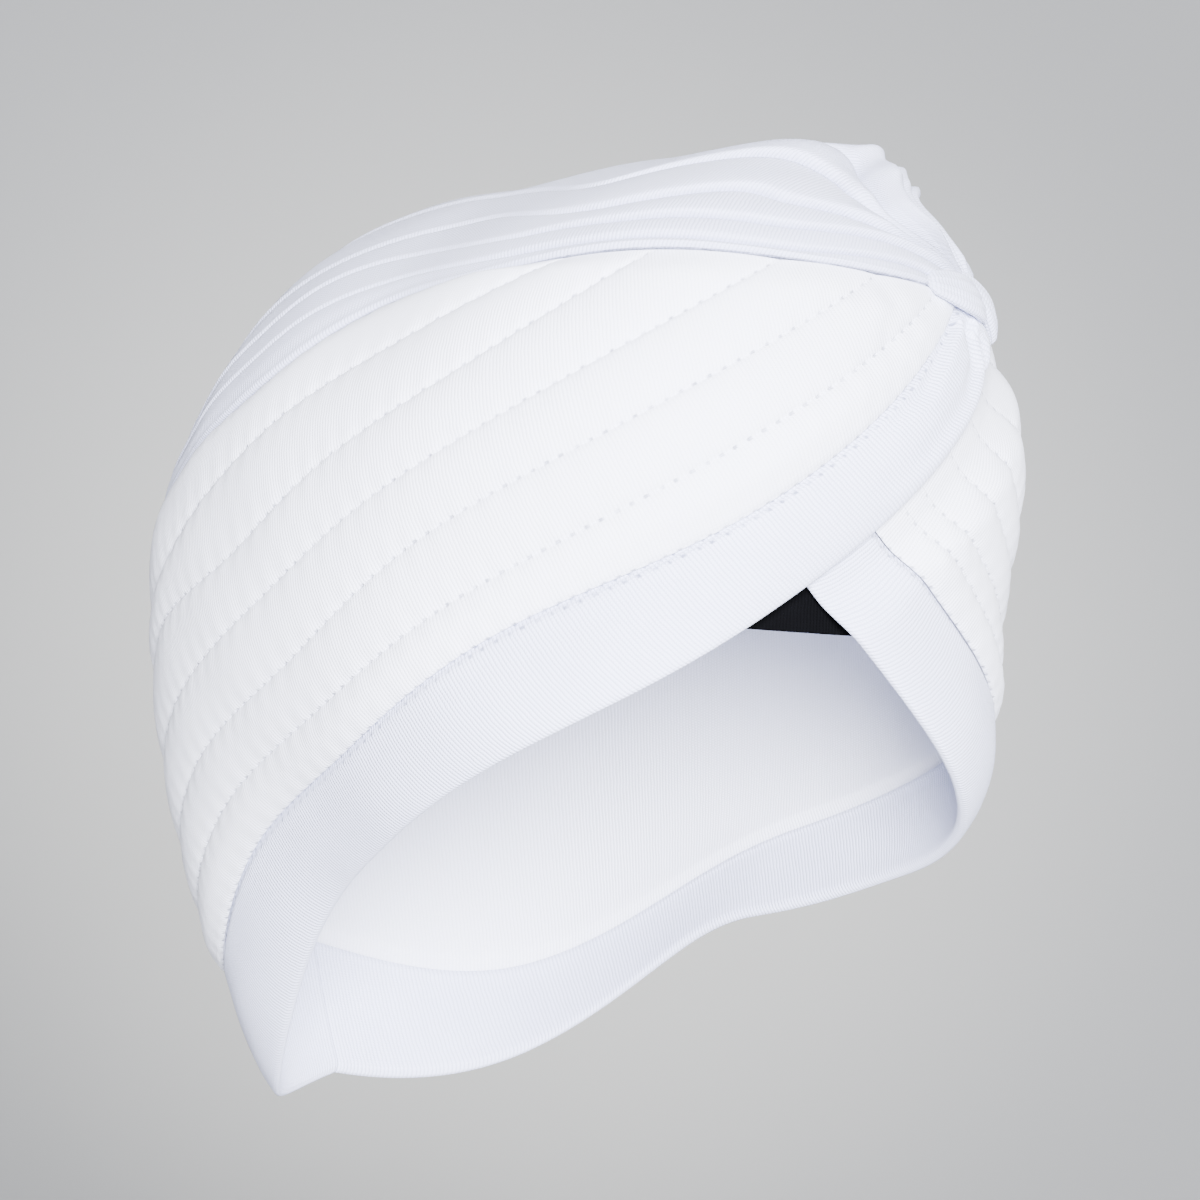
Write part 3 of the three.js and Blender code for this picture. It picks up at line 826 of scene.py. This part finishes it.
def stitchGroup():  # a row of stitches with the dent round it and the needle holes, places in millimetres, and a mask of painted shade in the holes
    inputs = {"Place": "Vector", "Pitch": "Float", "Away": "Float"}
    tree, given, result = group("stitches", inputs, ["Height", "PaintedHoleShade"])
    place = node(tree, "ShaderNodeSeparateXYZ", {0: given["Place"]}).outputs
    wander = noise(tree, given["Place"], stitchShape["wanderScale"], 2.0)
    away = maths(tree, "ABSOLUTE", maths(tree, "SUBTRACT", place[1], given["Away"]))
    along = maths(tree, "ADD", place[0], maths(tree, "MULTIPLY", given["Away"], stitchShape["rowShift"]))
    along = maths(tree, "ADD", along, maths(tree, "MULTIPLY", wander, stitchShape["wander"]))
    fromHole = maths(tree, "PINGPONG", maths(tree, "DIVIDE", along, given["Pitch"]), 0.5)
    bow = maths(tree, "SINE", maths(tree, "MULTIPLY", fromHole, math.pi))
    beside = ramp(tree, away, *stitchShape["thread"], kind="SMOOTHSTEP")
    thread = maths(tree, "MULTIPLY", beside, ramp(tree, fromHole, *stitchShape["threadEnds"]))
    beside = ramp(tree, away, *stitchShape["hole"], kind="SMOOTHSTEP")
    hole = maths(tree, "MULTIPLY", beside, ramp(tree, fromHole, *stitchShape["holeEnds"]))
    hole = maths(tree, "MULTIPLY", hole, ramp(tree, wander, *stitchShape["closed"]))
    dent = ramp(tree, away, *stitchShape["dent"], kind="SMOOTHSTEP")
    raised = maths(tree, "MULTIPLY", thread, maths(tree, "MULTIPLY", bow, stitchShape["threadHeight"]))
    sunk = maths(tree, "ADD", maths(tree, "MULTIPLY", dent, stitchShape["dentDepth"]),
                 maths(tree, "MULTIPLY", hole, stitchShape["holeDepth"]))
    fill(tree, result, {"Height": maths(tree, "SUBTRACT", raised, sunk), "PaintedHoleShade": hole})
    return tree


knit, stitches = knitGroup(), stitchGroup()
jersey = {
    "color": (0.73, 0.755, 0.95, 1),
    "otherColor": (0.62, 0.645, 0.84, 1),
    "mottleScale": 55.0,
    # shadeColor is painted shade: the colour is multiplied towards it in the knit's grooves and the stitch
    # holes, by at most mostShade
    "shadeColor": (0.3, 0.31, 0.37, 1),
    "mostShade": 0.9,
    "grooveShade": 0.27,
    "fuzzScale": 2.2,
    "fuzzHeight": 0.12,
    "knitHeight": 0.7,
    "wale": 0.8,
    "course": 0.6,
    "stitchRows": [],  # distance from the seam and length of a stitch
    "stitchHeight": 1.0,
    "holeShade": 0.7,
    "rough": (0.8, 0.92),
    "bump": 0.16,
    "shader": {"Sheen Weight": 0.25, "Sheen Roughness": 0.5},
}


def jerseyCloth(name, **changes):  # a knit cloth with rows of stitches
    look = {**jersey, **changes}
    material = bpy.data.materials.new(name)
    material.use_nodes = True
    tree = material.node_tree
    place, seam = (node(tree, "ShaderNodeUVMap", {}, uv_map=title).outputs[0] for title in ("cut", "seam"))
    spot = node(tree, "ShaderNodeTexCoord", {}).outputs["Object"]
    loops = {"Place": place, "Wale": look["wale"], "Course": look["course"]}
    loops = node(tree, "ShaderNodeGroup", loops, node_tree=knit).outputs
    fuzz = noise(tree, place, look["fuzzScale"], 3.0)
    height = maths(tree, "MULTIPLY", loops["Height"], look["knitHeight"])
    height = maths(tree, "ADD", height, maths(tree, "MULTIPLY", fuzz, look["fuzzHeight"]))
    # painted shade in the grooves between the knit's wales
    shade = maths(tree, "MULTIPLY", loops["PaintedGrooveShade"], look["grooveShade"])
    for away, pitch in look["stitchRows"]:
        row = {"Place": seam, "Pitch": pitch, "Away": away}
        row = node(tree, "ShaderNodeGroup", row, node_tree=stitches).outputs
        height = maths(tree, "ADD", height, maths(tree, "MULTIPLY", row["Height"], look["stitchHeight"]))
        # painted shade in the needle holes
        shade = maths(tree, "ADD", shade, maths(tree, "MULTIPLY", row["PaintedHoleShade"], look["holeShade"]))
    # the painted shade of grooves and holes, multiplied into the base colour below
    shade = maths(tree, "MINIMUM", shade, look["mostShade"])
    color = mix(tree, noise(tree, spot, look["mottleScale"], 4.0, 0.6), look["color"], look["otherColor"])
    bump = {"Height": height, "Strength": 1.0, "Distance": look["bump"] * mm}
    fill(tree, tree.nodes["Principled BSDF"], {
        **look["shader"],
        "Base Color": mix(tree, shade, color, look["shadeColor"], "MULTIPLY"),
        "Roughness": ramp(tree, fuzz, 0.0, 1.0, *look["rough"]),
        "Normal": node(tree, "ShaderNodeBump", bump).outputs[0],
    })
    return material


quiltCloth = jerseyCloth(
    "quiltedJersey",
    color=(0.84, 0.85, 0.95, 1),
    otherColor=(0.81, 0.82, 0.92, 1),
    grooveShade=0.15,
    knitHeight=0.65,
    stitchRows=[(0, 3.2)],
    stitchHeight=1.6,
    holeShade=0.75,
)
hemCloth = jerseyCloth(
    "hemJersey",
    grooveShade=0.42,
    knitHeight=1.1,
    wale=0.88,
    # the row at 0.05 mm lies in the seam's crevice, and its holes paint shade into that crevice
    stitchRows=[(0.05, 3.1), (1.2, 3.1)],
    stitchHeight=0.45,
    holeShade=0.85,
)
# the same jersey as the hems with its colour painted darker: the darkening is painted shade on the crown
# strip, and the knot shares it
crownPaintedShadeCloth = jerseyCloth(
    "crownJerseyPaintedShade",
    color=(0.62, 0.64, 0.82, 1),
    otherColor=(0.58, 0.6, 0.78, 1),
    grooveShade=0.42,
    knitHeight=0.9,
)
blackCloth = jerseyCloth(
    "blackJersey",
    color=(0.0015, 0.0015, 0.0018, 1),
    otherColor=(0.003, 0.003, 0.0034, 1),
    shadeColor=(0.3, 0.3, 0.3, 1),
    shader={"Specular IOR Level": 0},
)


def finishPiece(piece, material, part):
    piece.data.materials.append(material)
    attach(piece, "root")
    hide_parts(part)


finishPiece(rightQuilt, quiltCloth, "right_panel")
finishPiece(leftQuilt, quiltCloth, "left_panel")
finishPiece(rightHem, hemCloth, "right_hem_band")
finishPiece(leftHem, hemCloth, "left_hem_band")
finishPiece(crownPiece, crownPaintedShadeCloth, "crown_strip")
for strap in knotPieces:
    finishPiece(strap, crownPaintedShadeCloth, "knot_wrap")
finishPiece(browPiece, blackCloth, "brow_band")
print("materials made")

stage = {
    "floor": -0.5,
    "radius": 1.9,
    "bend": 0.35,
    "bendSteps": 12,
    "height": 2.2,
    "turns": 96,
    "color": (0.4, 0.4, 0.394, 1),
    "roughness": 0.95,
}


def makeStage():  # a round floor that bends up into a wall, spun from its profile
    profile = [(0, 0, stage["floor"])]
    inner = stage["radius"] - stage["bend"]
    for step in range(stage["bendSteps"] + 1):
        angle = step / stage["bendSteps"] * math.pi / 2
        height = stage["floor"] + stage["bend"] * (1 - math.cos(angle))
        profile.append((0, inner + stage["bend"] * math.sin(angle), height))
    profile.append((0, stage["radius"], stage["height"]))
    mesh = bpy.data.meshes.new("backdrop")
    mesh.from_pydata(profile, [(row, row + 1) for row in range(len(profile) - 1)], [])
    backdrop = bpy.data.objects.new("backdrop", mesh)
    bpy.context.scene.collection.objects.link(backdrop)
    bpy.ops.object.select_all(action="DESELECT")
    backdrop.select_set(True)
    bpy.context.view_layer.objects.active = backdrop
    bpy.ops.object.mode_set(mode="EDIT")
    bpy.ops.mesh.select_all(action="SELECT")
    bpy.ops.mesh.spin(steps=stage["turns"], angle=2 * math.pi, center=(0, 0, 0), axis=(0, 0, 1))
    bpy.ops.mesh.select_all(action="SELECT")
    bpy.ops.mesh.remove_doubles(threshold=mm / 10)
    bpy.ops.mesh.normals_make_consistent(inside=True)
    bpy.ops.object.mode_set(mode="OBJECT")
    bpy.ops.object.shade_smooth()
    material = bpy.data.materials.new("backdropPaper")
    material.use_nodes = True
    paper = {"Base Color": stage["color"], "Roughness": stage["roughness"]}
    fill(material.node_tree, material.node_tree.nodes["Principled BSDF"], paper)
    mesh.materials.append(material)


makeStage()

# Round lamps that look at the cap, each at a turn and lift seen from it, in degrees, and a distance
lamps = {
    "key": {"at": (-33, 8, 1.35), "size": 0.45, "power": 150, "color": (0.91, 0.93, 1)},
    "front": {"at": (40, 5, 1.4), "size": 0.6, "power": 9, "color": (0.91, 0.93, 1)},
    "inside": {"at": (14, -34, 1.2), "size": 0.4, "power": 7.5, "color": (1, 0.985, 0.95)},
}
glow = {  # a spot hidden behind the cap lights the backdrop
    "distance": 1.35,
    "aside": 0.03,
    "drop": 0.06,
    "power": 26,
    "cone": 84,
    "size": 0.1,
    "color": (1, 0.995, 0.97),
}
studio = {"color": (0.86, 0.9, 1, 1), "strength": 0.44}


def makeLamp(name, kind, look, place, target):
    data = bpy.data.lights.new(name, kind)
    data.energy = look["power"]
    data.color = look["color"]
    lamp = bpy.data.objects.new(name, data)
    bpy.context.scene.collection.objects.link(lamp)
    place, target = Vector(place), Vector(target)
    lamp.location = place
    lamp.rotation_euler = (target - place).to_track_quat("-Z", "Y").to_euler()
    return data


for name, look in lamps.items():
    turn, lift, distance = look["at"]
    data = makeLamp(name, "AREA", look, directionOf(turn, lift) * distance, (0, 0, 0))
    data.shape = "DISK"
    data.size = look["size"]
behind = directionOf(photo["azimuth"] + 180, 0)
offset = directionOf(photo["azimuth"] + 90, 0) * glow["aside"] + np.array([0, 0, glow["drop"]])
data = makeLamp("glow", "SPOT", glow, behind * glow["distance"] - offset, behind * stage["radius"] - offset)
data.spot_size = math.radians(glow["cone"])
data.spot_blend = 1
data.shadow_soft_size = glow["size"]
world = bpy.data.worlds.new("studio")
world.use_nodes = True
fill(world.node_tree, world.node_tree.nodes["Background"], {0: studio["color"], 1: studio["strength"]})
bpy.context.scene.world = world
print("stage and lights made")
